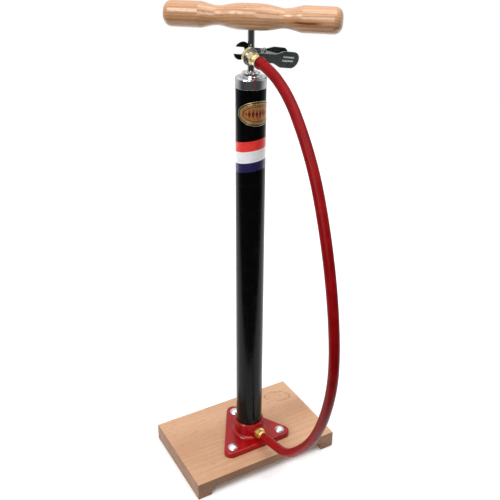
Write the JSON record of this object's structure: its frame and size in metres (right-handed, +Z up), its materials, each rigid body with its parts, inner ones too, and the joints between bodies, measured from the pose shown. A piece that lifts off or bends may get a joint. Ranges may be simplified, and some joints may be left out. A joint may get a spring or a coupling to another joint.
{
  "type": "floor bike pump",
  "caption": "Upright floor pump: black barrel on a red cast foot and wooden board, wooden cross handle, red rubber hose and clip-on valve head parked on the rod.",
  "frame": {"origin": "on the floor under the barrel's axis, 3.4 mm from the middle of the pump's footprint without its hose", "axes": "+Z up the barrel; +X along the long side of the foot board; -Y is the side that the outlet, the hose and the valve head face"},
  "size_m": [0.23, 0.3133, 0.6594],
  "materials": {
    "foot_wood": "oiled plywood, visible grain",
    "handle_wood": "varnished beech",
    "zinc": "bright zinc plated",
    "red_enamel": "gloss red enamel on a casting",
    "black_enamel": "gloss black enamel",
    "chrome": "polished chrome",
    "steel": "ground and polished steel",
    "brass": "turned brass",
    "red_rubber": "satin red rubber",
    "black_rubber": "matt",
    "leather": "greased leather",
    "fibre": "vulcanised fibre",
    "felt": "oiled felt",
    "spring_steel": "drawn wire"
  },
  "bodies": {
    "stand": {"foot_board": "foot_wood", "batten_left": "foot_wood", "batten_right": "foot_wood", "batten_screws": "zinc", "base_casting": "red_enamel", "casting_bolts": "zinc", "bolt_washers": "zinc", "bolt_nuts": "zinc", "base_gasket": "fibre", "bottom_buffer": "black_rubber", "barrel_tube": "black_enamel", "barrel_cap": "chrome", "guide_bush": "brass", "rod_wiper": "felt", "gland_nut": "chrome", "top_buffer": "black_rubber", "outlet_body": "brass", "outlet_washer": "fibre", "valve_spring": "spring_steel", "outlet_tail": "brass", "hose": "red_rubber", "nipple_lever": "steel", "lever_pin": "zinc", "lever_spring": "spring_steel", "mouth_nut": "brass", "mouth_seal": "black_rubber", "nipple_body": "chrome", "hose_tail": "brass"},
    "piston_seal": {"cup_seal": "leather"},
    "plunger": {"piston_rod": "steel", "piston_nut": "zinc", "piston_washer": "zinc", "piston_plate": "steel", "piston_lock_nut": "zinc", "handle": "handle_wood", "handle_insert": "brass"},
    "fork": {"fork_lever": "steel"},
    "check_ball": {"valve_ball": "steel"}
  },
  "joints": [
    {"name": "piston_slide", "type": "slide", "parent": "stand", "child": "piston_seal", "axis": [0, 0, 1], "range_m": [0, 0.48]},
    {"name": "handle_spin", "type": "hinge", "parent": "piston_seal", "child": "plunger", "pos_m": [0, 0, 0.6443], "axis": [0, 0, 1], "continuous": true},
    {"name": "clip_squeeze", "type": "hinge", "parent": "stand", "child": "fork", "pos_m": [0.01704, 0.00182, 0.59924], "axis": [-0.2113, 0.1811, -0.9605], "range_deg": [0, 18], "stiffness_Nm_per_rad": 0.15, "springref_deg": -17.19, "deforming": ["lever_spring"]},
    {"name": "check_valve_lift", "type": "slide", "parent": "stand", "child": "check_ball", "axis": [0.1045, -0.9945, 0], "range_m": [0, 0.0012], "stiffness_N_per_m": 60, "springref_m": -0.001, "deforming": ["valve_spring"]}
  ]
}
